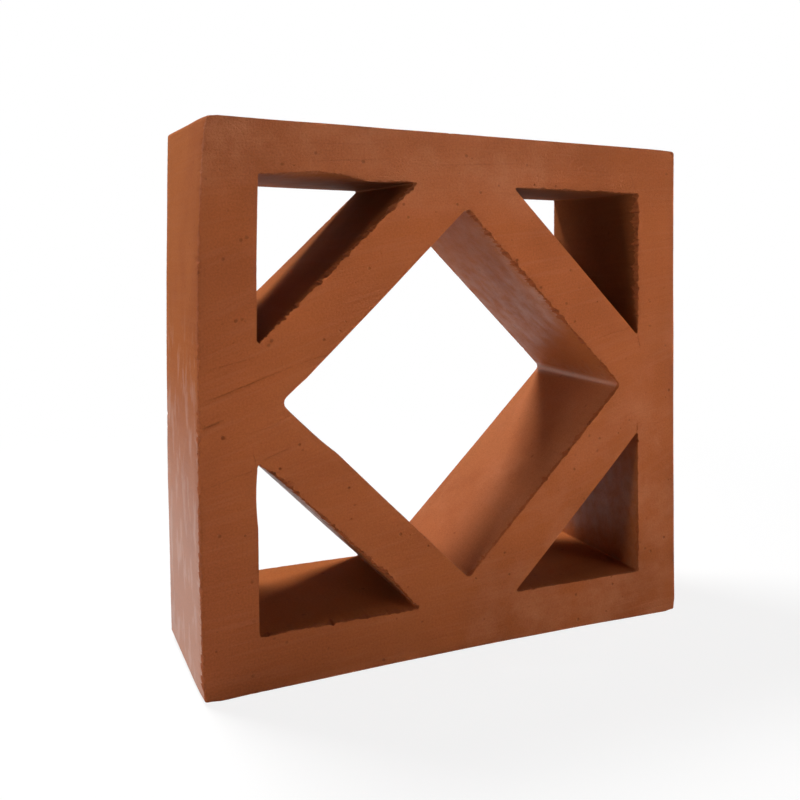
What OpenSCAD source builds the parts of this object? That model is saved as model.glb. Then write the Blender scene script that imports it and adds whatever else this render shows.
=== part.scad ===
// Terracotta breeze block with a diamond lattice.
// One fired clay piece: the lattice profile is pushed through a die and wire-cut to depth,
// so every opening runs straight through and both faces are flat.
// The block stands on its lower edge: X across the face, Y through the holes, Z up.

/* [Block] */
// Width across the face
block_width = 200; // [160:1:300]
// Height across the face
block_height = 200; // [160:1:300]
// Depth through the holes
block_depth = 70; // [40:1:120]
// Rounding of the four long outer edges
outer_corner_r = 1.2; // [0.5:0.1:6]

/* [Lattice] */
// Thickness of the four outer walls
frame_wall = 19.5; // [14:0.5:28]
// Clay between each tip of the diamond and the outside of the block
tip_wall = 28.5; // [24:0.5:38]
// Thickness of the slanting ribs, measured square to their length
rib = 21; // [14:0.5:28]

/* [Openings] */
// Rounding in the four corners of the diamond
diamond_corner_r = 2; // [0.5:0.1:6]
// Rounding in the corners of the triangles
triangle_corner_r = 0.5; // [0.4:0.1:4]

/* [Hidden] */
$fn = 64;
clay = "#96532f";
// How far the cutting shapes run past each face
overrun = 1;
// How far an opening's corner arcs bite past its straight sides, so that no sliver is left where they meet
arc_bite = 0.0005;

half_w = block_width / 2;
half_h = block_height / 2;
// Half diagonals of the diamond
diamond_x = half_w - tip_wall;
diamond_z = half_h - tip_wall;
// Inner faces of the outer walls
inner_x = half_w - frame_wall;
inner_z = half_h - frame_wall;
// The outer face of a rib is the line x / diamond_x + z / diamond_z = rib_line
rib_line = 1 + rib * sqrt(1 / pow(diamond_x, 2) + 1 / pow(diamond_z, 2));
// Where that line meets the inner faces of the walls
rib_meets_top_x = diamond_x * (rib_line - inner_z / diamond_z);
rib_meets_side_z = diamond_z * (rib_line - inner_x / diamond_x);

block_outline = [[-half_w, -half_h], [half_w, -half_h], [half_w, half_h], [-half_w, half_h]];
diamond_outline = [[diamond_x, 0], [0, diamond_z], [-diamond_x, 0], [0, -diamond_z]];
triangle_outline = [[inner_x, inner_z], [rib_meets_top_x, inner_z], [inner_x, rib_meets_side_z]];

function unit(v) = v / norm(v);
// Direction from corner i to its neighbour, step corners further round the outline
function side(outline, i, step) =
    let (n = len(outline)) unit(outline[(i + step + n) % n] - outline[i]);
// Half the angle between the two sides that meet at corner i
function half_angle(outline, i) = acos(side(outline, i, -1) * side(outline, i, 1)) / 2;
// Point on one side where the rounding of corner i begins
function rounding_start(outline, i, step, r) =
    outline[i] + side(outline, i, step) * r / tan(half_angle(outline, i));
// Centre of the rounding of corner i
function rounding_centre(outline, i, r) =
    outline[i] + unit(side(outline, i, -1) + side(outline, i, 1)) * r / sin(half_angle(outline, i));

// A convex outline with every corner rounded by a true arc
module rounded(outline, r, bite = 0) {
    polygon([
        for (i = [0 : len(outline) - 1], step = [-1, 1]) rounding_start(outline, i, step, r)
    ]);
    for (i = [0 : len(outline) - 1])
        translate(rounding_centre(outline, i, r)) circle(r + bite);
}

// The diamond opening in the middle of the lattice
module diamond_opening() {
    rounded(diamond_outline, diamond_corner_r, arc_bite);
}

// One triangular opening in each corner of the frame
module triangle_openings() {
    for (across = [0, 1], up = [0, 1])
        mirror([across, 0]) mirror([0, up]) rounded(triangle_outline, triangle_corner_r, arc_bite);
}

// Sets a face outline upright on the ground and gives it a depth, centred front to back
module upright(depth) {
    translate([0, depth / 2, half_h]) rotate([90, 0, 0]) linear_extrude(depth) children();
}

module breeze_block() {
    color(clay)
        difference() {
            upright(block_depth) rounded(block_outline, outer_corner_r);
            upright(block_depth + 2 * overrun) {
                diamond_opening();
                triangle_openings();
            }
        }
}

breeze_block();
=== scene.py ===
"""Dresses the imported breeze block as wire-cut fired clay and stands it in a plain pale studio."""

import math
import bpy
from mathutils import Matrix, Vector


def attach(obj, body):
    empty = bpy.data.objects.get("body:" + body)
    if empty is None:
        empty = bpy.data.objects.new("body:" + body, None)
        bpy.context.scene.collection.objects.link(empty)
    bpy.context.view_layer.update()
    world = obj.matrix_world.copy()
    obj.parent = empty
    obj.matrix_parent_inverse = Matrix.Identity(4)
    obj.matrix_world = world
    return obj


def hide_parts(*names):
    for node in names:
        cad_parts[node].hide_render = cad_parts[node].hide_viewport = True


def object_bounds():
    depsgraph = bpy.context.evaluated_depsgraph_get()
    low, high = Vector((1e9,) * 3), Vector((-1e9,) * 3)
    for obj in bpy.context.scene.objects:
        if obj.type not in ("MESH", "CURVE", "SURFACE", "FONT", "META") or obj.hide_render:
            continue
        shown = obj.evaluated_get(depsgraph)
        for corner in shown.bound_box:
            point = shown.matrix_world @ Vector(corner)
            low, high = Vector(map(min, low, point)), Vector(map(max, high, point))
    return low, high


bl_info = {
    "name": "Terracotta Breeze Block",
    "version": (1, 0, 0),
    "blender": (4, 5, 0),
    "location": "View3D > Sidebar > Breeze Block",
    "description": "Models the torn arrises, drag marks and fired finish of a wire-cut clay screen block",
    "category": "Object",
}

import bmesh
import bpy
import numpy as np
from bpy.props import FloatProperty, FloatVectorProperty, IntProperty, PointerProperty
from bpy.types import NodeSocket, Operator, Panel, PropertyGroup
from mathutils import Euler, Matrix, Vector, noise
from mathutils.geometry import delaunay_2d_cdt
from mathutils.kdtree import KDTree

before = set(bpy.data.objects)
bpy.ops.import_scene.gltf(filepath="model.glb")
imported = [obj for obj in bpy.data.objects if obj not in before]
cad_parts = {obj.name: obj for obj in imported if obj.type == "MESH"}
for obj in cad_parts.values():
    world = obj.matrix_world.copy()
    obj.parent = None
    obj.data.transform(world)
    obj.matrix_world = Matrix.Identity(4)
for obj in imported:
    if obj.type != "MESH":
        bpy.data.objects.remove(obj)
CAD_LOW, CAD_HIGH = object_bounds()

MM = 0.001
NODE = "breeze_block"
BODY = "root"

MIDDLE = (CAD_LOW + CAD_HIGH) / 2
HALF = (CAD_HIGH - CAD_LOW) / 2
FRONT, BACK = 0, 1
# Numbers of the two finishes on the mesh
WIRE_CUT, DIE_FORMED = 0, 1
SEED = 41
# The middle of the faces and the way from there to an outer corner, as (x, z)
CENTRE, REACH = np.array([MIDDLE.x, MIDDLE.z]), np.array([HALF.x, HALF.z])

# The cutting wire came in from the left, so the arrises that it met first are the torn ones
WIRE_PULL = np.array([1.0, 0.0])
# Raggedness of an arris that the wire left cleanly, of one it ran along,
# and of one it met squarely, on the outside of the block and in an opening
CALM_ARRIS, EVEN_ARRIS, OUTER_ARRIS, TORN_ARRIS = 0.04, 0.6, 0.45, 1.0
# Share of that raggedness on the back face, which the wire left cleaner
BACK_SHARE = 0.12
# How near an outer corner the arrises are whole
WHOLE_CORNER = 5 * MM
# Spacing of the mesh along calm, even and torn arrises
SPACING = (0.9 * MM, 0.5 * MM, 0.25 * MM)
# Rise of the drag marks, in degrees, at the top edge and at half height
DRAG_RISE_TOP, DRAG_RISE_MIDDLE = 3.0, 19.0

# One arris from the face round to the wall: depth and inset as shares of the break,
# and shares of the lip and the burr
ARRIS_PROFILE = (
    (0.0, 1.0, 0.0, 1.0),
    (0.4, 0.85, 0.3, 0.4),
    (1.6, 0.55, 1.0, 0.0),
    (4.5, 0.0, 0.6, 0.0),
)
# Strips of faces between those rings
ARRIS_STRIPS = len(ARRIS_PROFILE) - 1
# Further rings of a wall, as depths from the nearer face
WALL_RINGS = [9 * MM, 18 * MM]
# How far in from the front face an arris is rubbed or smeared
RUB_REACH = 12 * MM
# Length of a fully torn arris for each chip
CHIP_EVERY = 5 * MM
# Depth from which a mark is as dark with grime and painted shade as it gets
DIRT_AND_SHADE_DEPTH = 0.35 * MM
# Spacing of the mesh along the drag marks, and how far other points stay from any mark
DRAG_STEP, MARK_CLEARANCE = 1.3 * MM, 0.55 * MM
# How far points on a face stay from its outlines, as a share of the face step
BORDER_CLEARANCE = 0.45
# Arrises sharper than this are shaded as edges
SHARP_ANGLE = math.radians(38)
# How light the grime and painted shade are, as a share of the dark clay
DIRT_AND_SHADE_SHARE = 0.35

# Stretches of the front arrises: x, z, half length and depth in millimetres.
# A depth above 0 is rubbed away, and one below 0 is smeared out
RUBBED_ARRISES = (
    (-58, 180.5, 17, 1.6),
    (-37, 180.5, 10, -0.7),
    (-68, 67, 16, 1.3),
    (-52, 51, 16, 1.3),
    (-36, 35, 16, 1.3),
    (-64, 92, 16, 1.0),
    (-100, 200, 4, 0.4),
    (-100, 0, 6, 0.6),
    (100, 0, 5, 0.6),
    (62, 180.5, 5, 0.5),
)
# Long marks on the front face: x and z of the left end, length, rise in degrees, width and depth,
# with lengths in millimetres
FRONT_MARKS = (
    (-99, 101, 34, 21, 0.8, 0.25),
    (-68, 113, 24, 16, 0.7, 0.20),
    (-99.5, 92, 8, 22, 1.2, 0.45),
    (-98, 72, 24, 18, 0.7, 0.15),
    (-80, 80, 12, 21, 0.7, 0.25),
    (-77, 93, 14, 17, 0.6, 0.15),
    (-98, 112, 20, 14, 0.6, 0.15),
    (-20, 187, 48, 4, 0.8, 0.12),
    (14, 178, 40, -3, 0.7, 0.12),
    (-70, 192, 36, 3, 0.7, 0.12),
    (-62, 186, 30, 5, 0.7, 0.15),
    (-81, 79, 4, 105, 0.6, 0.30),
    (80.5, 79, 4, 95, 0.6, 0.35),
    (80.5, 121, 7, -75, 0.6, 0.30),
    (80, 181, 8, 110, 0.6, 0.15),
)
# Pits on the front face that stand out: x and z, radius and depth in millimetres
FRONT_PITS = (
    (-92, 89, 0.8, 0.6),
    (-66, 85, 0.6, 0.5),
    (-65, 83, 0.5, 0.3),
    (-73, 77, 0.6, 0.6),
    (-70, 72, 0.7, 0.6),
    (-48, 68, 0.6, 0.5),
    (-85, 55, 0.5, 0.4),
    (-56, 25, 0.6, 0.5),
    (-38, 22, 0.6, 0.5),
    (-62, 19, 0.5, 0.4),
    (-69, 22, 0.5, 0.4),
    (-30, 17, 0.5, 0.4),
    (-86, 157, 0.8, 0.4),
    (-84, 158, 0.9, 0.4),
    (-60, 189, 0.8, 0.4),
    (-42, 187, 0.9, 0.5),
    (-68, 184, 0.5, 0.4),
    (6, 178, 0.7, 0.6),
    (14, 181, 0.6, 0.4),
    (-4, 173, 0.6, 0.5),
    (3, 170, 0.5, 0.4),
    (30, 182, 0.6, 0.5),
    (40, 182, 0.5, 0.4),
    (22, 152, 0.7, 0.6),
    (33, 141, 0.7, 0.6),
    (49, 127, 0.6, 0.5),
    (47, 148, 0.6, 0.4),
    (60, 135, 0.5, 0.4),
    (-14, 158, 0.5, 0.4),
    (-57, 122, 0.7, 0.4),
    (-47, 124, 0.7, 0.4),
    (16, 36, 0.6, 0.5),
    (18, 27, 0.6, 0.5),
    (-17, 43, 0.6, 0.5),
    (-8, 50, 0.9, 0.6),
    (61, 78, 0.7, 0.4),
)


def length(name, description, millimetres):
    """A property for a length, stored in metres."""
    return FloatProperty(
        name=name,
        description=description,
        default=millimetres * MM,
        precision=5,
        subtype="DISTANCE",
        unit="LENGTH",
    )


def share(name, description, default):
    """A property for a value from 0 to 1."""
    return FloatProperty(name=name, description=description, default=default, min=0, max=1, subtype="FACTOR")


def colour(name, description, default):
    """A property for a colour."""
    return FloatVectorProperty(
        name=name, description=description, default=default, size=3, min=0, max=1, subtype="COLOR"
    )


def place(name, description, default):
    """A property for a point in the object's frame, in metres."""
    return FloatVectorProperty(
        name=name, description=description, default=default, size=3, subtype="XYZ", unit="LENGTH"
    )


def angle(name, description, degrees):
    """A property for an angle."""
    return FloatProperty(
        name=name, description=description, default=math.radians(degrees), subtype="ANGLE", unit="ROTATION"
    )


def power(name, description, watts):
    """A property for the power of a lamp."""
    return FloatProperty(
        name=name, description=description, default=watts, min=0, subtype="POWER", unit="POWER"
    )


def number(name, description, default):
    """A property for a number of marks."""
    return IntProperty(name=name, description=description, default=default, min=0)


class BreezeBlockClay(PropertyGroup):
    """Sizes of the marks on the clay, and its colours."""

    outline_step: length("Outline step", "Spacing at which the outlines are first read", 0.2)
    face_step: length("Face step", "Spacing of the mesh across the wire-cut faces", 1.6)
    arris_break: length("Arris break", "Rounding of the arrises where nothing is torn", 0.15)
    arris_tear: length("Arris tear", "Depth of the deepest chips along the arrises", 1.5)
    arris_lip: length("Arris lip", "How far dragged clay overhangs the openings", 0.6)
    arris_burr: length("Arris burr", "How far dragged clay stands up from the faces", 0.5)
    wall_wave: length("Wall wave", "Waviness of the walls and faces", 0.15)
    die_lines: length("Die lines", "Depth of the lines that the die drew along the walls", 0.012)
    pit_radius: length("Pit radius", "Radius of the largest scattered pits", 0.55)
    pit_count: number("Pits", "Scattered pits on each face", 70)
    scratch_count: number("Drag marks", "Scattered drag marks on each face", 22)
    left_bow: length("Left bow", "How far the left side bellies out at half height", 1.15)
    right_hollow: length("Right hollow", "How far the right side draws in at half height", 0.35)
    bed_hollow: length("Bed hollow", "How far the bottom bed draws up at the middle", 1.3)
    top_lean: length("Top lean", "How far the top leans to the left", 1.8)
    lattice_lift: length("Lattice lift", "How far the left of the lattice sits high", 1.25)
    cut_rise: length("Cut rise", "How far the openings rise from the front to the back", 1.65)
    cut_drift: length("Cut drift", "How far the openings drift to the right from the front to the back", 1.0)
    corner_pinch: length("Corner pinch", "How far the top left corner of the front is drawn in", 2.3)
    corner_roll: length("Corner roll", "How far the top right corner has sunk", 0.4)
    clay_colour: colour("Clay", "Fired body", (0.33, 0.086, 0.0255))
    skin_colour: colour("Skin", "Fired body where the die has smoothed it", (0.34, 0.098, 0.027))
    # The dark clay also makes the painted shade at the faces' low left, and a share of it the grime and
    # painted shade
    dark_colour: colour("Dark clay", "Blotches fired darker", (0.245, 0.06, 0.019))
    # The pale clay also makes the painted sheen on the faces and in the diamond
    pale_colour: colour("Pale clay", "Haze of fine dust on the surface", (0.40, 0.135, 0.058))
    face_roughness: share("Face roughness", "Roughness of the wire-cut faces", 0.86)
    wall_roughness: share("Wall roughness", "Roughness of the die-formed walls", 0.85)
    sheen_roughness: share("Sheen roughness", "Roughness of the sheen where walls are rubbed smooth", 0.4)


class BreezeBlockStage(PropertyGroup):
    """Camera, lamps and floor."""

    camera_place: place("Camera", "Where the camera stands", (-0.164, -0.3687, 0.147))
    camera_turn: angle("Turn", "How far the camera turns to the right of straight ahead", 28.29)
    camera_tilt: angle("Tilt", "How far the camera looks down", 0.455)
    camera_roll: angle("Roll", "How far the camera leans over to the left", 0.244)
    focal_length: FloatProperty(
        name="Focal length", description="Lens, in millimetres", default=43.35, unit="CAMERA"
    )
    shift_x: FloatProperty(name="Shift across", description="Sideways shift of the lens", default=-0.13)
    shift_y: FloatProperty(name="Shift up", description="Upward shift of the lens", default=-0.15)
    top_power: power("Top light", "Light above, behind and to the left", 19.5)
    left_power: power("Left light", "Low light on the left side", 4.8)
    behind_power: power("Light behind", "Soft light behind on the left", 1.8)
    right_power: power("Right light", "Soft light on the right side", 3)
    front_power: power("Front light", "Low soft light that faces the front", 1.4)
    rail_power: power("Rail spot", "Narrow light on the top of the front", 0.08)
    spot_power: power("Front spot", "Narrow light on the right of the front", 0.08)
    sky_light: share("Sky", "Soft light from all round", 0.06)
    floor_colour: colour("Floor", "Pale studio floor", (0.8, 0.79, 0.78))


# Shapes


def clay_noise(points, size, seed):
    """Smooth noise from -1 to 1 at each point, with features of about the given size."""
    start = Vector((seed * 3.7, seed * 5.3, seed * 7.9))
    return np.array([noise.noise(Vector(p) / size + start) for p in points])


def cad_outlines(node):
    """The closed outlines of a node's front face as arrays of (x, z), each with the clay on its left."""
    weld = 0.001 * MM
    shell = bmesh.new()
    shell.from_mesh(node.data)
    bmesh.ops.remove_doubles(shell, verts=shell.verts, dist=weld)
    on_front = [f for f in shell.faces if all(abs(v.co.y - CAD_LOW.y) < weld for v in f.verts)]
    onward = {}
    for face in on_front:
        for corner in face.loops:
            if not any(f in on_front for f in corner.edge.link_faces if f != face):
                onward[corner.vert] = corner.link_loop_next.vert
    outlines = []
    while onward:
        vert, following = onward.popitem()
        ring = [vert]
        while following in onward:
            ring.append(following)
            following = onward.pop(following)
        outlines.append(np.array([(v.co.x, v.co.z) for v in ring]))
    shell.free()
    if not outlines:
        raise RuntimeError("the packed block has no front face to take the outlines from")
    return sorted(outlines, key=lambda ring: (*np.round(ring.mean(axis=0), 4), np.ptp(ring[:, 0])))


class Outline:
    """One outline of the face as points, closer where it is torn, with the way into the clay at each."""

    def __init__(self, corners, step):
        start = np.lexsort((corners[:, 1], corners[:, 0]))[0]
        closed = np.vstack([np.roll(corners, -start, axis=0), corners[start]])
        run = np.concatenate([[0], np.cumsum(np.linalg.norm(np.diff(closed, axis=0), axis=1))])
        self.length = run[-1]
        self.is_outer = np.ptp(corners[:, 0]) > 1.9 * HALF.x
        evenly = np.linspace(0, self.length, round(self.length / step), endpoint=False)
        self.place_points(closed, run, evenly)
        spacing = np.interp(self.raggedness(), (CALM_ARRIS, EVEN_ARRIS, TORN_ARRIS), SPACING)
        along = np.append(self.along, self.length)
        passed = np.concatenate([[0], np.cumsum(np.diff(along) / spacing)])
        wanted = np.linspace(0, passed[-1], round(passed[-1]), endpoint=False)
        self.place_points(closed, run, np.interp(wanted, passed, along))

    def place_points(self, closed, run, along):
        """Sets the points at the given lengths along the closed outline."""
        self.along = along
        self.count = len(along)
        self.points = np.column_stack([np.interp(along, run, closed[:, k]) for k in (0, 1)])
        ahead = np.roll(self.points, -1, axis=0) - np.roll(self.points, 1, axis=0)
        ahead /= np.linalg.norm(ahead, axis=1)[:, None]
        self.into_clay = np.column_stack([-ahead[:, 1], ahead[:, 0]])

    def raggedness(self):
        """How much the wire tore each point: most where it met the clay squarely and low on the left."""
        met = self.into_clay @ WIRE_PULL
        even, most = (CALM_ARRIS, OUTER_ARRIS) if self.is_outer else (EVEN_ARRIS, TORN_ARRIS)
        ragged = np.interp(met, (-0.7, 0, 0.7), (CALM_ARRIS, even, most))
        across, up = ((self.points - CENTRE) / REACH).T
        to_low_right = np.interp(across - up, (0.2, 0.7), (1, 0.5))
        to_low_left = np.interp(-across - up, (0.4, 0.9), (1, 1.4))
        ragged *= to_low_right * to_low_left
        from_corner = np.hypot(*(np.abs(np.abs(self.points - CENTRE) - REACH)).T)
        return ragged * np.clip(from_corner / WHOLE_CORNER, CALM_ARRIS, 1)

    def at_depth(self, y):
        """The outline's points at one depth, as (x, y, z)."""
        return np.column_stack([self.points[:, 0], np.full(self.count, y), self.points[:, 1]])


class TornArris:
    """One arris of an outline at each of its points, as the wire left it."""

    def __init__(self, outline, clay, side, rng):
        ragged = outline.raggedness()
        if side == BACK:
            ragged *= BACK_SHARE
        points = outline.at_depth(side)
        crumbs = np.clip(clay_noise(points, 0.8 * MM, 1) + 0.15, 0, 1)
        bites = np.clip(clay_noise(points, 2.6 * MM, 2) + 0.05, 0, 1)
        self.broken = clay.arris_break + ragged * clay.arris_tear * (0.5 * crumbs + 0.7 * bites)
        torn = ragged * np.diff(np.append(outline.along, outline.length))
        chips = int(torn.sum() / CHIP_EVERY)
        for centre in rng.choice(outline.count, chips, p=torn / torn.sum()):
            apart = np.abs(outline.along - outline.along[centre])
            apart = np.minimum(apart, outline.length - apart)
            reach = rng.uniform(0.4, 1.5) * MM
            deep = clay.arris_tear * rng.beta(1.4, 2.6) * (0.4 + 0.6 * ragged[centre])
            self.broken = np.maximum(self.broken, deep * (1 - (apart / reach) ** 2))
        self.lip = ragged * clay.arris_lip * np.clip(clay_noise(points, 2 * MM, 3) + 0.1, 0, 1)
        self.burr = ragged * clay.arris_burr * np.clip(clay_noise(points, 1.3 * MM, 8) + 0.1, 0, 1)
        self.rough = [ragged * clay_noise(points, 0.8 * MM, seed) for seed in (9, 10)]
        # Grime and painted shade along the torn arris
        self.dirtied_and_shaded = ragged * np.clip(0.35 + 1.6 * clay_noise(points, 1.4 * MM, 11), 0, 1)
        self.rubbed = np.zeros(outline.count)
        if side == FRONT:
            for x, z, reach, deep in RUBBED_ARRISES:
                apart = np.linalg.norm(outline.points - np.array([x, z]) * MM, axis=1)
                self.rubbed += deep * MM * np.clip(1 - (apart / (reach * MM)) ** 2, 0, 1)

    def rings(self):
        """The rings round the arris from the face to behind it, as depths and insets into the clay."""
        found = []
        for depth, inset, held, raised in ARRIS_PROFILE:
            crumbled = [1 + 3 * inset * (1 - inset) * rough for rough in self.rough]
            behind_face = depth * self.broken * crumbled[0] - raised * self.burr
            into_clay = inset * self.broken * crumbled[1] - held * self.lip
            found.append((behind_face, into_clay))
        flat = np.zeros(len(self.broken))
        found += [(flat + depth, flat) for depth in WALL_RINGS]
        rings = []
        for depth, inset in found:
            rings.append((depth, inset + self.rubbed * np.clip(1 - depth / RUB_REACH, 0, 1)))
        return rings


def wall_rings(outline, clay, torn):
    """Rings of points from the front face through the depth to the back face, as (ring, point, xyz)."""
    near = [torn[side].rings() for side in (FRONT, BACK)]
    flat = np.zeros(outline.count)
    layers = [(CAD_LOW.y + depth, inset) for depth, inset in near[FRONT]]
    layers.append((flat + MIDDLE.y, flat))
    layers += [(CAD_HIGH.y - depth, inset) for depth, inset in reversed(near[BACK])]
    lines = clay.die_lines * clay_noise(outline.at_depth(0), 1.6 * MM, 4)
    rings = []
    for y, inset in layers:
        middle = np.column_stack([outline.points[:, 0], y, outline.points[:, 1]])
        wave = clay.wall_wave * clay_noise(middle, 30 * MM, 5)
        moved = outline.points + outline.into_clay * (inset + wave + lines)[:, None]
        rings.append(np.column_stack([moved[:, 0], y, moved[:, 1]]))
    return np.array(rings)


def inside(points, rings):
    """Which points lie on the clay: inside the outer ring and outside the openings."""
    odd = np.zeros(len(points), bool)
    for ring in rings:
        for (x0, z0), (x1, z1) in zip(ring, np.roll(ring, -1, axis=0)):
            if z0 == z1:
                continue
            crosses = (points[:, 1] < z0) != (points[:, 1] < z1)
            odd ^= crosses & (points[:, 0] < x0 + (points[:, 1] - z0) * (x1 - x0) / (z1 - z0))
    return odd


class FaceMarks:
    """Pits and drag marks on one wire-cut face."""

    def __init__(self, clay, side, rng):
        size = REACH * 2
        corner = np.array([CAD_LOW.x, CAD_LOW.z])
        scattered = corner + rng.random((clay.pit_count, 2)) * size
        radius = clay.pit_radius * (0.4 + 0.6 * rng.random(clay.pit_count) ** 2)
        depth = radius * rng.uniform(0.4, 0.8, clay.pit_count)
        self.pits = np.column_stack([scattered, radius, depth])
        start = corner + rng.random((clay.scratch_count, 2)) * size
        height = np.abs(start[:, 1] - MIDDLE.z) / HALF.z
        usual_rise = np.interp(height, (0, 1), (DRAG_RISE_MIDDLE, DRAG_RISE_TOP))
        rise = usual_rise + rng.normal(0, 2.5, clay.scratch_count)
        run = rng.uniform(8, 40, clay.scratch_count) * MM
        wide = rng.uniform(0.4, 0.8, clay.scratch_count) * MM
        deep = rng.uniform(0.04, 0.12, clay.scratch_count) * MM
        self.drags = np.column_stack([start, run, np.radians(rise), wide, deep])
        if side == FRONT:
            self.pits = np.vstack([self.pits, np.array(FRONT_PITS) * MM])
            marks = np.array(FRONT_MARKS) * MM
            marks[:, 3] = np.radians(marks[:, 3] / MM)
            self.drags = np.vstack([self.drags, marks])

    def mesh_points(self):
        """Points that the mesh needs to show the marks."""
        found = []
        for x, z, radius, _ in self.pits:
            found.append((x, z))
            for ring, count in ((0.55, 6), (1.0, 9)):
                turn = np.arange(count) * 2 * np.pi / count
                found += zip(x + ring * radius * np.cos(turn), z + ring * radius * np.sin(turn))
        for x, z, run, rise, wide, _ in self.drags:
            along = np.arange(0, run, DRAG_STEP)
            for across in (-wide / 2, 0, wide / 2):
                found += zip(
                    x + along * np.cos(rise) - across * np.sin(rise),
                    z + along * np.sin(rise) + across * np.cos(rise),
                )
        return np.array(found)

    def depth(self, points):
        """How deep the marks are cut at each point of the face."""
        deepest = np.zeros(len(points))
        for x, z, radius, deep in self.pits:
            off = np.hypot(points[:, 0] - x, points[:, 1] - z) / radius
            deepest = np.maximum(deepest, deep * np.clip(1 - off ** 2, 0, 1))
        for x, z, run, rise, wide, deep in self.drags:
            dx, dz = points[:, 0] - x, points[:, 1] - z
            along = (dx * np.cos(rise) + dz * np.sin(rise)) / run
            across = (dz * np.cos(rise) - dx * np.sin(rise)) / (wide / 2)
            taper = np.clip(4 * along * (1 - along), 0, 1)
            deepest = np.maximum(deepest, deep * np.sqrt(taper) * np.clip(1 - np.abs(across), 0, 1))
        return deepest


def clear_of(points, others, distance):
    """Which points are further than a distance from all the others."""
    tree = KDTree(len(others))
    for k, (x, z) in enumerate(others):
        tree.insert((x, z, 0), k)
    tree.balance()
    return np.array([tree.find((x, z, 0))[2] > distance for x, z in points])


def face_points(rings, marks, step, rng):
    """Points across one face, between its outlines and round its marks."""
    rows = np.arange(CAD_LOW.z, CAD_HIGH.z, step * math.sqrt(3) / 2)
    row = np.arange(CAD_LOW.x, CAD_HIGH.x, step)
    grid = np.array([(x + (k % 2) * step / 2, z) for k, z in enumerate(rows) for x in row])
    grid += rng.uniform(-0.2, 0.2, grid.shape) * step
    own = marks.mesh_points()
    candidates = np.vstack([own, grid[clear_of(grid, own, MARK_CLEARANCE)]])
    candidates = candidates[clear_of(candidates, np.vstack(rings), BORDER_CLEARANCE * step)]
    return candidates[inside(candidates, rings)]


def face_triangles(rings, points):
    """Triangles over the clay of one face, by the numbers of the rings' points and then the free points."""
    everything = np.vstack([*rings, points])
    borders = []
    first = 0
    for ring in rings:
        borders += [(first + k, first + (k + 1) % len(ring)) for k in range(len(ring))]
        first += len(ring)
    coordinates = [Vector(p) / MM for p in everything]
    found, _, triangles, sources, _, _ = delaunay_2d_cdt(coordinates, borders, [], 1, 1e-6)
    if len(found) != len(everything) or not all(sources):
        raise RuntimeError("the outlines of a wire-cut face cross each other")
    index = [source[0] for source in sources]
    corners = np.array([[index[k] for k in triangle] for triangle in triangles])
    middles = everything[corners].mean(axis=1)
    corners = corners[inside(middles, rings)]
    a, b, c = (everything[corners[:, k]] for k in range(3))
    turn = (b[:, 0] - a[:, 0]) * (c[:, 1] - a[:, 1]) - (b[:, 1] - a[:, 1]) * (c[:, 0] - a[:, 0])
    corners[turn < 0] = corners[turn < 0][:, ::-1]
    return corners


def drying_warp(points, clay):
    """The block's own distortion: out of square, with bowed sides and drawn corners."""
    across = (points[:, 0] - MIDDLE.x) / HALF.x
    up = (points[:, 2] - MIDDLE.z) / HALF.z
    back = (points[:, 1] - CAD_LOW.y) / (2 * HALF.y)
    left, right = np.clip(-across, 0, 1), np.clip(across, 0, 1)
    high, low = np.clip(up, 0, 1), np.clip(-up, 0, 1)
    half_height = 1 - up ** 2
    warped = points.copy()
    warped[:, 0] += clay.cut_drift * back - clay.top_lean / 2 * up
    warped[:, 0] -= half_height * (clay.left_bow * left ** 3 + clay.right_hollow * right ** 3)
    warped[:, 0] += clay.corner_pinch * (1 - back) * left ** 4 * high ** 4
    warped[:, 2] += clay.cut_rise * back + clay.lattice_lift * half_height * left
    warped[:, 2] += clay.bed_hollow * (1 - across ** 2) * low ** 3
    warped[:, 2] -= clay.corner_roll * np.clip((across - 0.86) / 0.14, 0, 1) ** 2 * high ** 6
    return warped


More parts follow.
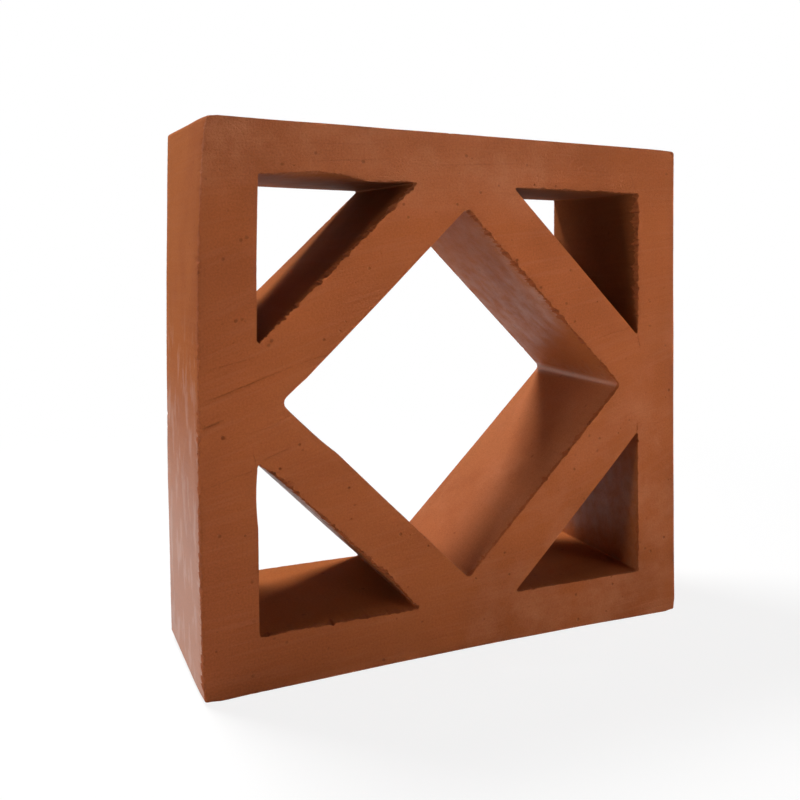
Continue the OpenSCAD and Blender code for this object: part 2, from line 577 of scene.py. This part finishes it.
class ClayShell:
    """The points and faces of the block as they are gathered."""

    def __init__(self):
        self.count = 0
        self.points, self.worn, self.faces, self.finishes = [], [], [], []

    def add_points(self, points, worn):
        """Adds points, with how much grime and painted shade each gets from 0 to 1. Returns their numbers.
        """
        numbers = self.count + np.arange(len(points))
        self.count += len(points)
        self.points.append(points)
        self.worn.append(worn)
        return numbers

    def add_faces(self, faces, finish):
        """Adds faces by the numbers of their points, with one finish for all or one for each."""
        self.faces += faces.tolist()
        self.finishes.append(np.broadcast_to(finish, len(faces)))

    def add_wall(self, rings, torn):
        """Adds one wall with its arrises. Returns the numbers of its front ring and its back ring."""
        layers, count, _ = rings.shape
        # The arris rows take the grime and painted shade of their torn arrises
        dirt_and_shade_rows = np.zeros((layers, count))
        dirt_and_shade_rows[1:ARRIS_STRIPS] = torn[FRONT].dirtied_and_shaded
        dirt_and_shade_rows[-ARRIS_STRIPS:-1] = torn[BACK].dirtied_and_shaded
        index = self.add_points(rings.reshape(-1, 3), dirt_and_shade_rows.ravel()).reshape(layers, count)
        following = np.roll(index, -1, axis=1)
        quads = np.stack([index[:-1], index[1:], following[1:], following[:-1]], axis=-1)
        strip = np.arange(layers - 1)
        on_arris = np.minimum(strip, strip[::-1]) < ARRIS_STRIPS
        self.add_faces(quads.reshape(-1, 4), np.repeat(np.where(on_arris, WIRE_CUT, DIE_FORMED), count))
        return index[0], index[-1]

    def add_face(self, clay, side, rings, borders, rng):
        """Adds one wire-cut face and its marks between the end rings of the walls."""
        marks = FaceMarks(clay, side, rng)
        free = face_points(rings, marks, clay.face_step, rng)
        triangles = face_triangles(rings, free)
        plane, outward = CAD_LOW.y, -1
        if side == BACK:
            triangles = triangles[:, ::-1]
            plane, outward = CAD_HIGH.y, 1
        depth = marks.depth(free)
        flat = np.column_stack([free[:, 0], np.full(len(free), plane), free[:, 1]])
        wave = clay.wall_wave * clay_noise(flat, 22 * MM, 6 + side)
        flat[:, 1] -= outward * (depth + np.abs(wave))
        # Pits and drag marks darken with depth, as grime and painted shade
        numbers = self.add_points(flat, np.clip(depth / DIRT_AND_SHADE_DEPTH, 0, 1))
        self.add_faces(np.concatenate([*borders, numbers])[triangles], WIRE_CUT)

    def as_mesh(self, name, clay):
        """The gathered points and faces as a mesh, with the block's distortion."""
        mesh = bpy.data.meshes.new(name)
        mesh.from_pydata(drying_warp(np.vstack(self.points), clay).tolist(), [], self.faces)
        mesh.polygons.foreach_set("material_index", np.concatenate(self.finishes).astype(np.int32))
        # Grime and painted shade at each point, for the wire-cut finish
        dirt_and_shade_layer = mesh.attributes.new("worn", "FLOAT", "POINT")
        dirt_and_shade_layer.data.foreach_set("value", np.concatenate(self.worn).astype(np.float32))
        mesh.shade_smooth()
        mesh.set_sharp_from_angle(angle=SHARP_ANGLE)
        return mesh


def build_block_mesh(clay):
    """The whole block as one closed mesh: torn arrises, wavy walls and marked wire-cut faces."""
    rng = np.random.default_rng(SEED)
    shell = ClayShell()
    walls, borders = [], []
    for ring in cad_outlines(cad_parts[NODE]):
        outline = Outline(ring, clay.outline_step)
        torn = [TornArris(outline, clay, side, rng) for side in (FRONT, BACK)]
        walls.append(wall_rings(outline, clay, torn))
        borders.append(shell.add_wall(walls[-1], torn))
    for side in (FRONT, BACK):
        rings = [wall[-side][:, [0, 2]] for wall in walls]
        shell.add_face(clay, side, rings, [border[side] for border in borders], rng)
    return shell.as_mesh("breeze_block_clay", clay)


# Finishes


def add_node(tree, kind, inputs=None, **settings):
    """Adds a shader node. inputs gives values or sockets by the name or number of the node's own socket."""
    made = tree.nodes.new("ShaderNode" + kind)
    for name, value in settings.items():
        setattr(made, name, value)
    for name, value in (inputs or {}).items():
        if isinstance(value, NodeSocket):
            tree.links.new(value, made.inputs[name])
        else:
            made.inputs[name].default_value = value
    return made


def calculate(tree, operation, *values):
    """The result of a Math node."""
    return add_node(tree, "Math", dict(enumerate(values)), operation=operation).outputs[0]


def product(tree, first, *others):
    """Several values multiplied together."""
    for other in others:
        first = calculate(tree, "MULTIPLY", first, other)
    return first


def parts_of(tree, vector):
    """The X, Y and Z of a vector."""
    return add_node(tree, "SeparateXYZ", {0: vector}).outputs


def mix_colours(tree, factor, first, second, kind="MIX"):
    """The result of a Mix node for colours."""
    inputs = {0: factor, 6: first, 7: second}
    return add_node(tree, "Mix", inputs, data_type="RGBA", blend_type=kind).outputs[2]


def noise_value(tree, vector, scale, detail, roughness=0.5):
    """The value of a Noise texture."""
    inputs = {"Vector": vector, "Scale": scale, "Detail": detail, "Roughness": roughness}
    return add_node(tree, "TexNoise", inputs).outputs[0]


def remap(tree, value, low, high, new_low=0.0, new_high=1.0):
    """The result of a smooth Map Range node."""
    inputs = {"Value": value, "From Min": low, "From Max": high, "To Min": new_low, "To Max": new_high}
    return add_node(tree, "MapRange", inputs, interpolation_type="SMOOTHSTEP").outputs[0]


def new_group(name, inputs, outputs):
    """A shader node group with named sockets. Returns its tree, its inputs by name and its output node."""
    tree = bpy.data.node_groups.new(name, "ShaderNodeTree")
    for way, sockets in (("INPUT", inputs), ("OUTPUT", outputs)):
        for socket, kind in sockets.items():
            tree.interface.new_socket(socket, in_out=way, socket_type="NodeSocket" + kind)
    return tree, tree.nodes.new("NodeGroupInput").outputs, tree.nodes.new("NodeGroupOutput")


def fired_tone_group():
    """Colour of fired clay: dark blotches, a pale haze and fine specks."""
    tree, given, result = new_group(
        "fired_tone",
        {"Vector": "Vector", "Clay": "Color", "Dark": "Color", "Pale": "Color", "Haze": "Float"},
        {"Color": "Color"},
    )
    blotch = noise_value(tree, given["Vector"], 17.0, 4.0, 0.55)
    dark = remap(tree, blotch, 0.45, 0.72, 0.0, 0.55)
    toned = mix_colours(tree, dark, given["Clay"], given["Dark"])
    cloud = noise_value(tree, given["Vector"], 42.0, 5.0, 0.62)
    haze = product(tree, remap(tree, cloud, 0.42, 0.75), given["Haze"])
    hazy = mix_colours(tree, haze, toned, given["Pale"])
    speck = noise_value(tree, given["Vector"], 1400.0, 2.0, 0.7)
    light = remap(tree, speck, 0.3, 0.7, 0.9, 1.09)
    specked = mix_colours(tree, 1.0, hazy, light, "MULTIPLY")
    tree.links.new(specked, result.inputs["Color"])
    return tree


def streaks_group():
    """Long fine streaks. Scale stretches them along one direction, and three equal scales make blotches."""
    tree, given, result = new_group(
        "clay_streaks",
        {"Vector": "Vector", "Scale": "Vector"},
        {"Height": "Float"},
    )
    laid = add_node(tree, "VectorMath", {0: given["Vector"], 1: given["Scale"]}, operation="MULTIPLY")
    lines = noise_value(tree, laid.outputs[0], 1.0, 3.0, 0.6)
    tree.links.new(remap(tree, lines, 0.25, 0.75), result.inputs["Height"])
    return tree


def grain_group():
    """Sandy grain and sparse pores."""
    tree, given, result = new_group(
        "clay_grain",
        {"Vector": "Vector", "Scale": "Float"},
        {"Height": "Float", "Pores": "Float"},
    )
    sand = noise_value(tree, given["Vector"], given["Scale"], 4.0, 0.65)
    wide = product(tree, given["Scale"], 0.22)
    cells = add_node(tree, "TexVoronoi", {"Vector": given["Vector"], "Scale": wide, "Randomness": 1.0})
    holes = remap(tree, cells.outputs["Distance"], 0.1, 0.24, 1.0, 0.0)
    sparse = noise_value(tree, given["Vector"], 150.0, 2.0)
    pores = product(tree, holes, remap(tree, sparse, 0.56, 0.66))
    tree.links.new(sand, result.inputs["Height"])
    tree.links.new(pores, result.inputs["Pores"])
    return tree


def use_group(tree, group, inputs):
    """Places a node group in a material."""
    return add_node(tree, "Group", inputs, node_tree=group).outputs


def streaks(tree, groups, vector, scale):
    """The height of the streaks group at the given scale."""
    return use_group(tree, groups["streaks"], {"Vector": vector, "Scale": scale})["Height"]


def opaque(rgb):
    """A colour property as the four numbers that a socket takes."""
    return (*rgb, 1.0)


def empty_tree(owner):
    """The cleared node tree of a material or a world."""
    owner.use_nodes = True
    owner.node_tree.nodes.clear()
    return owner.node_tree


def new_material(name):
    """A plain material. Returns it with its tree, its Principled BSDF and the object's own coordinates."""
    material = bpy.data.materials.new(name)
    tree = empty_tree(material)
    surface = add_node(tree, "BsdfPrincipled")
    add_node(tree, "OutputMaterial", {"Surface": surface.outputs[0]})
    return material, tree, surface, add_node(tree, "TexCoord").outputs["Object"]


def fired_tone(tree, clay, groups, coordinates, body, haze):
    """The colour of fired clay. body is its main colour there, and haze says how much pale haze it gets: a
    little on all walls, and painted sheen in places.
    """
    inputs = {
        "Vector": coordinates,
        "Clay": body,
        "Dark": opaque(clay.dark_colour),
        "Pale": opaque(clay.pale_colour),
        "Haze": haze,
    }
    return use_group(tree, groups["tone"], inputs)["Color"]


def dirt_and_shade_colour(clay):
    """Grime and painted shade, much darker than the dark clay."""
    return opaque([DIRT_AND_SHADE_SHARE * part for part in clay.dark_colour])


def from_middle(tree, height):
    """How far a height is above or below the middle of the block."""
    return calculate(tree, "ABSOLUTE", calculate(tree, "SUBTRACT", height, MIDDLE.z))


def drag_lines(tree, groups, spot):
    """Streaks along the path of the wire, which rises most at half height."""
    steep, flat = (math.tan(math.radians(rise)) for rise in (DRAG_RISE_MIDDLE, DRAG_RISE_TOP))
    rise = remap(tree, from_middle(tree, spot["Z"]), 0.1 * HALF.z, 0.9 * HALF.z, steep, flat)
    level = calculate(tree, "SUBTRACT", spot["Z"], product(tree, rise, spot["X"]))
    along_wire = add_node(tree, "CombineXYZ", {"X": spot["X"], "Y": spot["Y"], "Z": level}).outputs[0]
    return streaks(tree, groups, along_wire, (30, 300, 650))


def face_body(tree, clay, spot, top_rail):
    """Body colour and haze of a face: a pale painted sheen at the top left and at the low right, and painted
    shade at the low left.
    """
    # Painted sheen: a pale haze on the top rail towards the left
    to_left = remap(tree, spot["X"], 0.1 * HALF.x, 0.7 * HALF.x, 1.0, 0.1)
    dust_and_sheen = product(tree, top_rail, to_left)
    # Painted sheen: a pale haze towards the low right
    falling = calculate(tree, "SUBTRACT", spot["X"], spot["Z"])
    to_low_right = remap(tree, falling, -0.5 * HALF.x, 0.2 * HALF.x, 0.05, 0.85)
    # Painted shade: the clay darkens towards the low left
    rising = calculate(tree, "ADD", spot["X"], spot["Z"])
    to_low_left = remap(tree, rising, -0.9 * HALF.x, 0.1 * HALF.x, 0.6, 0.0)
    low = mix_colours(tree, to_low_left, opaque(clay.clay_colour), opaque(clay.dark_colour))
    body = mix_colours(tree, product(tree, dust_and_sheen, 0.4), low, opaque(clay.pale_colour))
    return body, calculate(tree, "MAXIMUM", dust_and_sheen, to_low_right)


def add_relief(tree, surface, grain, sand_share, pore_share, lines, depth):
    """Bumps a surface with sand, pores and lines, up to about the given depth."""
    sand = calculate(tree, "MULTIPLY_ADD", grain["Height"], sand_share, lines)
    height = calculate(tree, "SUBTRACT", sand, product(tree, grain["Pores"], pore_share))
    bump = add_node(tree, "Bump", {"Height": height, "Strength": 1.0, "Distance": depth})
    tree.links.new(bump.outputs[0], surface.inputs["Normal"])


def wire_cut_clay(clay, groups):
    """Matte clay as the wire left it: grain, drag lines and pores, with grime and painted shade in the pits,
    pores and torn arrises, and painted sheen and shade in places.
    """
    material, tree, surface, coordinates = new_material("wire_cut_clay")
    spot = parts_of(tree, coordinates)
    drag = drag_lines(tree, groups, spot)
    top_rail = remap(tree, spot["Z"], 1.6 * HALF.z, 1.9 * HALF.z)
    body, haze = face_body(tree, clay, spot, top_rail)
    tone = fired_tone(tree, clay, groups, coordinates, body, haze)
    grain = use_group(tree, groups["grain"], {"Vector": coordinates, "Scale": 1300.0})
    worn = add_node(tree, "Attribute", attribute_name="worn").outputs["Fac"]
    pale_lines = remap(tree, drag, 0.5, 1.0, 0.0, 0.15)
    streaked = mix_colours(tree, pale_lines, tone, opaque(clay.pale_colour))
    # Pits, pores and torn arrises darken with grime and painted shade
    hollow = calculate(tree, "MAXIMUM", worn, grain["Pores"])
    dirtied_and_shaded = mix_colours(tree, product(tree, hollow, 0.45), streaked, dirt_and_shade_colour(clay))
    tree.links.new(dirtied_and_shaded, surface.inputs["Base Color"])
    smooth, harsh = clay.face_roughness - 0.06, clay.face_roughness + 0.08
    tree.links.new(remap(tree, grain["Height"], 0.3, 0.7, smooth, harsh), surface.inputs["Roughness"])
    coarse = calculate(tree, "MULTIPLY_ADD", top_rail, 1.2, 0.25)
    add_relief(tree, surface, grain, coarse, 0.6, product(tree, drag, 0.25), 0.4 * MM)
    surface.inputs["Specular IOR Level"].default_value = 0.12
    return material


class WallPlaces:
    """Where a point of the die-formed walls lies, as shares from 0 to 1."""

    def __init__(self, tree, spot):
        off_centre = calculate(tree, "ABSOLUTE", spot["X"])
        # On the outer sides, or on the beds and in the openings
        self.outer = remap(tree, off_centre, HALF.x - 6 * MM, HALF.x - 3 * MM)
        self.inner = calculate(tree, "SUBTRACT", 1.0, self.outer)
        # In the diamond, or outside its ribs
        off_axes = calculate(tree, "ADD", off_centre, from_middle(tree, spot["Z"]))
        self.diamond = remap(tree, off_axes, 0.8 * HALF.x, 0.9 * HALF.x, 1.0, 0.0)
        self.outside = calculate(tree, "SUBTRACT", 1.0, self.diamond)
        # Towards the right tip of the diamond on its upper wall, further along at the back, where the
        # painted sheen is left off and the coat is kept low
        above = remap(tree, spot["Z"], HALF.z, 1.1 * HALF.z)
        slanted = calculate(tree, "MULTIPLY_ADD", spot["Y"], -0.35, spot["X"])
        self.clean = product(tree, above, remap(tree, slanted, 0.48 * HALF.x, 0.62 * HALF.x))


def wall_body(tree, clay, spot, places):
    """Body colour and haze of a wall: a pale painted sheen in the diamond, painted shade in the upper
    triangles to the right.
    """
    # Painted sheen: the diamond's walls are paled, less so towards its right tip
    dust_and_sheen = product(tree, places.diamond, calculate(tree, "SUBTRACT", 1.0, places.clean))
    sheen_paled_skin = mix_colours(tree, product(tree, dust_and_sheen, 0.6), opaque(clay.skin_colour), opaque(clay.pale_colour))
    # Painted shade: the walls in the upper triangles to the right are darkened
    high_up = remap(tree, spot["Z"], 1.2 * HALF.z, 1.4 * HALF.z, 0.0, 0.5)
    under_bed = remap(tree, spot["Z"], 1.88 * HALF.z, 1.94 * HALF.z, 1.0, 0.0)
    to_right = remap(tree, spot["X"], -0.7 * HALF.x, -0.4 * HALF.x)
    painted_recess_shade = product(tree, places.inner, high_up, places.outside, under_bed, to_right)
    body = mix_colours(tree, painted_recess_shade, sheen_paled_skin, dirt_and_shade_colour(clay))
    return body, calculate(tree, "MULTIPLY_ADD", dust_and_sheen, 0.9, 0.1)


def wall_sheen(tree, groups, coordinates, spot, places):
    """Weight of the sheen: low on the sides, on walls that face down and in the diamond's right tip."""
    upright = streaks(tree, groups, coordinates, (40, 130, 60))
    lower = remap(tree, spot["Z"], 0.4 * HALF.z, 1.2 * HALF.z, 0.75, 0.0)
    below_middle = remap(tree, spot["Z"], HALF.z, 1.4 * HALF.z, 0.3, 0.0)
    smears = product(tree, remap(tree, upright, 0.5, 0.9), below_middle)
    rubbed = product(tree, places.outer, calculate(tree, "ADD", lower, smears))
    rising = calculate(tree, "ADD", spot["X"], spot["Z"])
    low_left = remap(tree, rising, 0.2 * HALF.x, HALF.x, 0.9, 0.18)
    below_top = remap(tree, spot["Z"], 1.65 * HALF.z, 1.75 * HALF.z, 1.0, 0.4)
    up_to_rib = remap(tree, rising, 1.75 * HALF.x, 1.95 * HALF.x, 1.0, 0.0)
    more_to_right = remap(tree, spot["X"], 0.1 * HALF.x, 0.45 * HALF.x, 0.8, 1.8)
    along_rib = calculate(tree, "ADD", more_to_right, product(tree, places.clean, -1.7))
    blotches = streaks(tree, groups, coordinates, (150, 150, 150))
    mottle = calculate(tree, "MULTIPLY_ADD", blotches, 1.4, 0.3)
    upward = parts_of(tree, add_node(tree, "NewGeometry").outputs["Normal"])["Z"]
    under_side = product(tree, remap(tree, upward, 0.0, 0.5, 1.0, 0.03), places.inner)
    pressed = product(tree, low_left, below_top, up_to_rib, along_rib, mottle, under_side)
    in_tip = remap(tree, spot["X"], 0.69 * HALF.x, 0.71 * HALF.x, 0.0, 0.7)
    polished = calculate(tree, "MAXIMUM", pressed, product(tree, places.diamond, in_tip))
    return calculate(tree, "MAXIMUM", rubbed, polished)


def die_formed_clay(clay, groups):
    """Smoother clay from the die: lines along the depth and a low sheen where it is rubbed, with painted
    sheen in the diamond, painted shade in the upper triangles to the right, and grime and painted shade in
    the pores.
    """
    material, tree, surface, coordinates = new_material("die_formed_clay")
    spot = parts_of(tree, coordinates)
    places = WallPlaces(tree, spot)
    body, haze = wall_body(tree, clay, spot, places)
    tone = fired_tone(tree, clay, groups, coordinates, body, haze)
    along_depth = streaks(tree, groups, coordinates, (420, 14, 420))
    grain = use_group(tree, groups["grain"], {"Vector": coordinates, "Scale": 1000.0})
    sheen = wall_sheen(tree, groups, coordinates, spot, places)
    tree.links.new(sheen, surface.inputs["Coat Weight"])
    pale_lines = remap(tree, along_depth, 0.55, 1.0, 0.0, 0.08)
    lined = mix_colours(tree, pale_lines, tone, opaque(clay.pale_colour))
    # Pores darken with grime and painted shade
    dirtied_and_shaded = mix_colours(tree, product(tree, grain["Pores"], 0.35), lined, dirt_and_shade_colour(clay))
    tree.links.new(dirtied_and_shaded, surface.inputs["Base Color"])
    smooth, harsh = clay.wall_roughness - 0.06, clay.wall_roughness + 0.06
    tree.links.new(remap(tree, along_depth, 0.0, 1.0, smooth, harsh), surface.inputs["Roughness"])
    add_relief(tree, surface, grain, 0.35, 0.6, product(tree, along_depth, 0.4), 0.06 * MM)
    surface.inputs["Specular IOR Level"].default_value = 0.04
    surface.inputs["Coat Roughness"].default_value = clay.sheen_roughness
    return material


class BREEZE_BLOCK_OT_shape_clay(Operator):
    """Model the block as one piece of wire-cut fired clay and finish its surfaces"""

    bl_idname = "breeze_block.shape_clay"
    bl_label = "Shape the clay block"

    def execute(self, context):
        clay = context.scene.breeze_block_clay
        mesh = build_block_mesh(clay)
        groups = {"tone": fired_tone_group(), "streaks": streaks_group(), "grain": grain_group()}
        mesh.materials.append(wire_cut_clay(clay, groups))
        mesh.materials.append(die_formed_clay(clay, groups))
        piece = bpy.data.objects.new("breeze_block_clay", mesh)
        context.scene.collection.objects.link(piece)
        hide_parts(NODE)
        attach(piece, BODY)
        return {"FINISHED"}


# Stage

# Lamps: name, place, point aimed at, width and height in metres, and spread in degrees
LAMPS = (
    ("top", (-0.3, 0.5, 1.2), (0, 0, 0.1), 0.4, 0.28, 180),
    ("left", (-1.4, -0.25, 0.15), (0, 0, 0.1), 0.3, 0.3, 180),
    ("behind", (-0.8, 1.0, 0.8), (0, 0, 0.1), 0.5, 0.5, 180),
    ("right", (1.3, 0.1, 0.4), (0, 0, 0.1), 0.6, 0.6, 180),
    ("front", (0.5, -0.6, 0.13), (0, 0, 0.1), 0.25, 0.25, 180),
    ("rail", (0.6, -1.35, 0.22), (-0.05, 0, 0.2), 0.2, 0.2, 20),
    ("spot", (0.6, -1.35, 0.22), (0.08, 0, 0.1), 0.2, 0.2, 20),
)
FLOOR_SIZE = 12.0
# How far the floor lies under the block
FLOOR_GAP = 0.25 * MM
SENSOR_WIDTH = 36
# How much of the floor's look is plain white near the block, and how far off it is all white
FLOOR_LIFT, FLOOR_NEAR, FLOOR_FAR = 0.85, 0.2, 0.6
# The backdrop is white up to this height of the sky and fades above it, as sines of the elevation
WHITE_UP_TO, FADED_ABOVE, FADED_SKY = 0.31, 0.42, 0.1


def seen_directly(tree):
    """1 for rays that show the background: from the camera, from gloss and through glass."""
    path = add_node(tree, "LightPath").outputs
    shown = calculate(tree, "MAXIMUM", path["Is Camera Ray"], path["Is Glossy Ray"])
    return calculate(tree, "MAXIMUM", shown, path["Is Transmission Ray"])


def studio_floor(stage):
    """Pale floor that keeps the block's shadow and turns white further off."""
    material = bpy.data.materials.new("studio_floor")
    tree = empty_tree(material)
    matte = add_node(tree, "BsdfDiffuse", {"Color": opaque(stage.floor_colour)})
    white = add_node(tree, "Emission", {"Color": (1, 1, 1, 1), "Strength": 1.0})
    pale = add_node(tree, "BsdfDiffuse", {"Color": (0.9, 0.9, 0.9, 1)})
    coordinates = add_node(tree, "TexCoord").outputs["Object"]
    away = add_node(tree, "VectorMath", {0: coordinates}, operation="LENGTH").outputs["Value"]
    lift = remap(tree, away, FLOOR_NEAR, FLOOR_FAR, FLOOR_LIFT, 1.0)
    shown = add_node(tree, "MixShader", {0: lift, 1: pale.outputs[0], 2: white.outputs[0]})
    mixed = add_node(tree, "MixShader", {0: seen_directly(tree), 1: matte.outputs[0], 2: shown.outputs[0]})
    add_node(tree, "OutputMaterial", {"Surface": mixed.outputs[0]})
    return material


def light_sky(scene, stage):
    """Soft light from all round, with a white backdrop behind the block."""
    scene.world = bpy.data.worlds.new("studio_sky")
    tree = empty_tree(scene.world)
    direction = parts_of(tree, add_node(tree, "TexCoord").outputs["Generated"])
    soft = add_node(tree, "Background", {"Color": (1, 1, 1, 1), "Strength": stage.sky_light})
    brightness = remap(tree, direction["Z"], WHITE_UP_TO, FADED_ABOVE, 1.0, FADED_SKY)
    backdrop = add_node(tree, "Background", {"Color": (1, 1, 1, 1), "Strength": brightness})
    mixed = add_node(tree, "MixShader", {0: seen_directly(tree), 1: soft.outputs[0], 2: backdrop.outputs[0]})
    add_node(tree, "OutputWorld", {"Surface": mixed.outputs[0]})


class BREEZE_BLOCK_OT_set_stage(Operator):
    """Lay the floor, hang the lamps and set up the camera"""

    bl_idname = "breeze_block.set_stage"
    bl_label = "Set the stage"

    def execute(self, context):
        scene = context.scene
        stage = scene.breeze_block_stage
        scene.view_settings.view_transform = "Standard"
        self.lay_floor(scene, stage)
        light_sky(scene, stage)
        self.hang_lamps(scene, stage)
        self.set_camera(scene, stage)
        return {"FINISHED"}

    def lay_floor(self, scene, stage):
        """A large flat floor just under the block."""
        half = FLOOR_SIZE / 2
        mesh = bpy.data.meshes.new("floor")
        corners = [(-half, -half, 0), (half, -half, 0), (half, half, 0), (-half, half, 0)]
        mesh.from_pydata(corners, [], [(0, 1, 2, 3)])
        mesh.materials.append(studio_floor(stage))
        floor = bpy.data.objects.new("floor", mesh)
        floor.location = (0, 0, CAD_LOW.z - FLOOR_GAP)
        scene.collection.objects.link(floor)

    def hang_lamps(self, scene, stage):
        """Area lamps, each with the power that the stage gives it."""
        for name, spot, aim, width, height, spread in LAMPS:
            lamp = bpy.data.lights.new(name + "_light", "AREA")
            lamp.shape = "RECTANGLE"
            lamp.size, lamp.size_y = width, height
            lamp.spread = math.radians(spread)
            lamp.energy = getattr(stage, name + "_power")
            hung = bpy.data.objects.new(name + "_light", lamp)
            hung.location = spot
            hung.rotation_euler = (Vector(aim) - Vector(spot)).to_track_quat("-Z", "Y").to_euler()
            hung.visible_camera = False
            scene.collection.objects.link(hung)

    def set_camera(self, scene, stage):
        """The camera that sees the block as in the picture."""
        lens = bpy.data.cameras.new("camera")
        lens.sensor_width = SENSOR_WIDTH
        lens.lens = stage.focal_length
        lens.shift_x, lens.shift_y = stage.shift_x, stage.shift_y
        lens.clip_start = 0.01
        camera = bpy.data.objects.new("camera", lens)
        camera.location = stage.camera_place
        level = Euler((math.pi / 2 - stage.camera_tilt, 0, -stage.camera_turn)).to_matrix()
        camera.rotation_euler = (level @ Matrix.Rotation(stage.camera_roll, 3, "Z")).to_euler()
        scene.collection.objects.link(camera)
        scene.camera = camera


class BREEZE_BLOCK_PT_panel(Panel):
    """Lists the steps and settings of the breeze block"""

    bl_idname = "BREEZE_BLOCK_PT_panel"
    bl_label = "Breeze Block"
    bl_space_type = "VIEW_3D"
    bl_region_type = "UI"
    bl_category = "Breeze Block"

    def draw(self, context):
        for step, settings in (
            (BREEZE_BLOCK_OT_shape_clay, context.scene.breeze_block_clay),
            (BREEZE_BLOCK_OT_set_stage, context.scene.breeze_block_stage),
        ):
            box = self.layout.box()
            box.operator(step.bl_idname)
            for name in type(settings).__annotations__:
                box.prop(settings, name)


CLASSES = (
    BreezeBlockClay,
    BreezeBlockStage,
    BREEZE_BLOCK_OT_shape_clay,
    BREEZE_BLOCK_OT_set_stage,
    BREEZE_BLOCK_PT_panel,
)


def register():
    for cls in CLASSES:
        bpy.utils.register_class(cls)
    bpy.types.Scene.breeze_block_clay = PointerProperty(type=BreezeBlockClay)
    bpy.types.Scene.breeze_block_stage = PointerProperty(type=BreezeBlockStage)


def unregister():
    del bpy.types.Scene.breeze_block_stage
    del bpy.types.Scene.breeze_block_clay
    for cls in reversed(CLASSES):
        bpy.utils.unregister_class(cls)


def main():
    register()
    bpy.ops.breeze_block.shape_clay()
    bpy.ops.breeze_block.set_stage()


if __name__ == "__main__":
    main()
